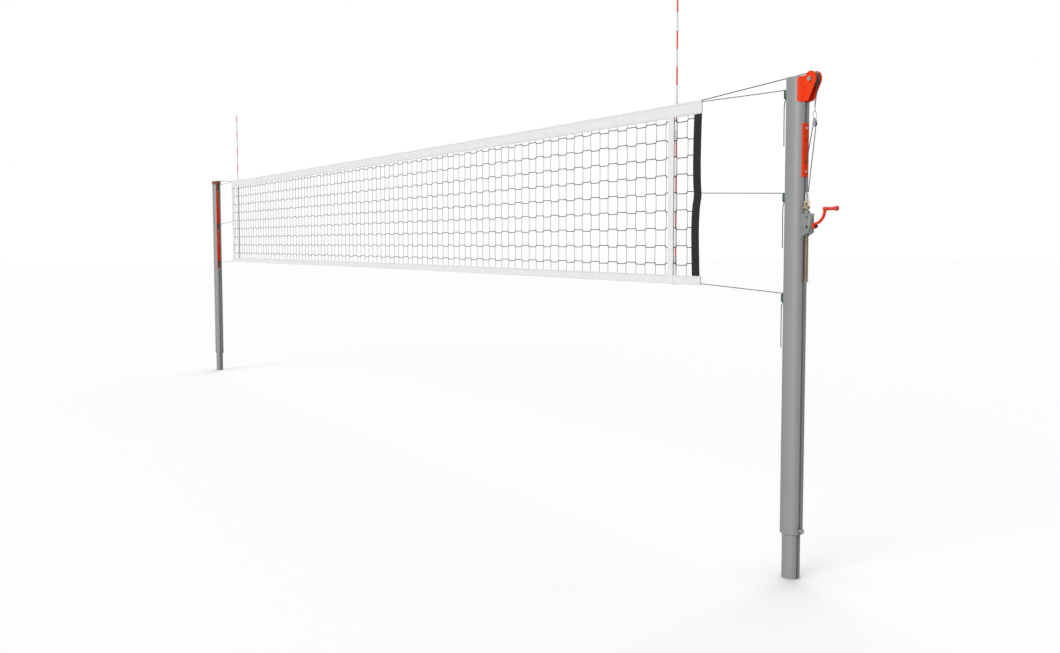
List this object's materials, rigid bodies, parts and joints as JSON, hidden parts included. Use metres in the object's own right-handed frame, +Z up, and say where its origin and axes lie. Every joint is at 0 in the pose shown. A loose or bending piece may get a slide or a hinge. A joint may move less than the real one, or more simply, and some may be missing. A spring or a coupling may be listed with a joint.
{
  "type": "volleyball net",
  "caption": "Volleyball net on two telescopic oval posts that stand in floor sockets, with a crank spindle tensioner, a rope tackle, a head pulley, side-line tapes and antennas",
  "frame": {"origin": "on the floor at the axis of the near post, which carries the tensioner", "axes": "+X points away from the net, out of the crank's side of the near post; the net and the far post lie along -X; +Z is up; the net lies in the plane y = 0"},
  "size_m": [11.3636, 0.108, 3.584],
  "materials": {
    "aluminium": "extruded and anodised, satin",
    "black_plastic": "moulded nylon, matt",
    "pulley_plastic": "moulded nylon, matt",
    "steel": "zinc plated, satin",
    "dark_steel": "blackened, matt",
    "cable": "stranded steel cable",
    "rope": "stranded steel rope",
    "orange_paint": "powder coat, semi-gloss",
    "red_paint": "powder coat, semi-gloss",
    "crank_red": "powder coat, semi-gloss",
    "grip_red": "moulded grip, semi-gloss",
    "brown_paint": "powder coat, semi-gloss",
    "yellow_zinc": "yellow zinc plated",
    "spindle_steel": "threaded, oiled",
    "cast_housing": "cast, light grey paint",
    "bronze": "turned",
    "netting": "knotted polypropylene string",
    "white_tape": "woven and coated, matt",
    "black_strap": "woven webbing, matt",
    "antenna_rod": "glass-fibre rod in red and white stripes",
    "green_cord": "braided cord"
  },
  "bodies": {
    "root": {"near_inner_post": "aluminium", "far_inner_post": "aluminium", "foot_plugs": "black_plastic", "glide_collars": "black_plastic"},
    "near_upper": {"near_outer_post": "aluminium", "near_lower_bush": "black_plastic", "near_top_cap": "aluminium", "pulley_head": "orange_paint", "pulley_axle": "steel", "axle_nut": "steel", "hook_rail": "orange_paint", "near_net_rail": "red_paint", "near_fittings": "steel", "near_cleats": "black_plastic", "net_cable": "cable", "cable_drop": "cable", "rope_fall_a": "rope", "rope_stop": "steel", "gearbox_housing": "cast_housing", "gearbox_cap": "cast_housing", "gearbox_plug": "black_plastic", "thrust_ring": "steel", "shaft_bush": "bronze", "net_mesh": "netting", "top_tape": "white_tape", "bottom_tape": "white_tape", "near_strap": "black_strap", "far_strap": "white_tape", "side_bands": "white_tape", "antennas": "antenna_rod", "net_cords": "green_cord", "cord_tails": "green_cord"},
    "near_knob": {"near_lock_knob": "steel"},
    "pulley": {"head_pulley": "pulley_plastic", "pulley_bearing": "steel"},
    "block": {"cable_thimble": "steel", "tackle_block": "steel", "sheave_pin": "steel", "rope_turn": "rope", "rope_fall_b": "rope"},
    "sheave": {"tackle_sheave": "black_plastic"},
    "spindle": {"spindle": "spindle_steel", "spindle_stop": "spindle_steel", "shackle": "yellow_zinc", "shackle_pin": "yellow_zinc", "rope_thimble": "steel"},
    "nut": {"spindle_nut": "bronze"},
    "crank": {"crank_shaft": "steel", "crank_arm": "crank_red", "crank_bolt": "dark_steel", "grip_pin": "steel"},
    "grip": {"crank_grip": "grip_red"},
    "far_upper": {"far_outer_post": "aluminium", "far_lower_bush": "black_plastic", "far_head_cap": "brown_paint", "far_net_rail": "red_paint", "far_fittings": "steel", "far_cleats": "black_plastic", "cable_end": "steel"},
    "far_knob": {"far_lock_knob": "steel"}
  },
  "joints": [
    {"name": "near_height", "type": "slide", "parent": "root", "child": "near_upper", "axis": [0, 0, 1], "range_m": [-0.19, 0]},
    {"name": "far_height", "type": "slide", "parent": "root", "child": "far_upper", "axis": [0, 0, 1], "range_m": [-0.19, 0]},
    {"name": "near_knob_turn", "type": "hinge", "parent": "near_upper", "child": "near_knob", "pos_m": [0.07, 0, 0.247], "axis": [1, 0, 0], "range_deg": [0, 360]},
    {"name": "far_knob_turn", "type": "hinge", "parent": "far_upper", "child": "far_knob", "pos_m": [-11.07, 0, 0.247], "axis": [-1, 0, 0], "range_deg": [0, 360]},
    {"name": "crank_turn", "type": "hinge", "parent": "near_upper", "child": "crank", "pos_m": [0.077, 0, 1.745], "axis": [1, 0, 0], "range_deg": [0, 12600]},
    {"name": "grip_spin", "type": "hinge", "parent": "crank", "child": "grip", "pos_m": [0.24, 0, 1.827], "axis": [1, 0, 0], "continuous": true},
    {"name": "nut_turn", "type": "hinge", "parent": "near_upper", "child": "nut", "pos_m": [0.077, 0, 1.76], "axis": [0, 0, 1], "range_deg": [-6300, 0]},
    {"name": "tackle_slide", "type": "slide", "parent": "near_upper", "child": "block", "axis": [0, 0, 1], "range_m": [0, 0.07], "deforming": ["cable_drop", "rope_fall_a"]},
    {"name": "sheave_spin", "type": "hinge", "parent": "block", "child": "sheave", "pos_m": [0.1205, 0, 2.232], "axis": [0, -1, 0], "range_deg": [0, 423]},
    {"name": "spindle_slide", "type": "slide", "parent": "block", "child": "spindle", "axis": [0, 0, 1], "range_m": [0, 0.07], "deforming": ["rope_fall_b"]},
    {"name": "pulley_spin", "type": "hinge", "parent": "near_upper", "child": "pulley", "pos_m": [0.106, 0, 2.446], "axis": [0, -1, 0], "range_deg": [0, 120]}
  ],
  "couplings": [
    {"joint": "far_height", "follows": "near_height", "ratio": 1},
    {"joint": "nut_turn", "follows": "crank_turn", "ratio": -0.5},
    {"joint": "tackle_slide", "follows": "crank_turn", "m_per_rad": 0.0003183},
    {"joint": "spindle_slide", "follows": "crank_turn", "m_per_rad": 0.0003183},
    {"joint": "sheave_spin", "follows": "crank_turn", "ratio": 0.033505},
    {"joint": "pulley_spin", "follows": "crank_turn", "ratio": 0.0095015}
  ]
}
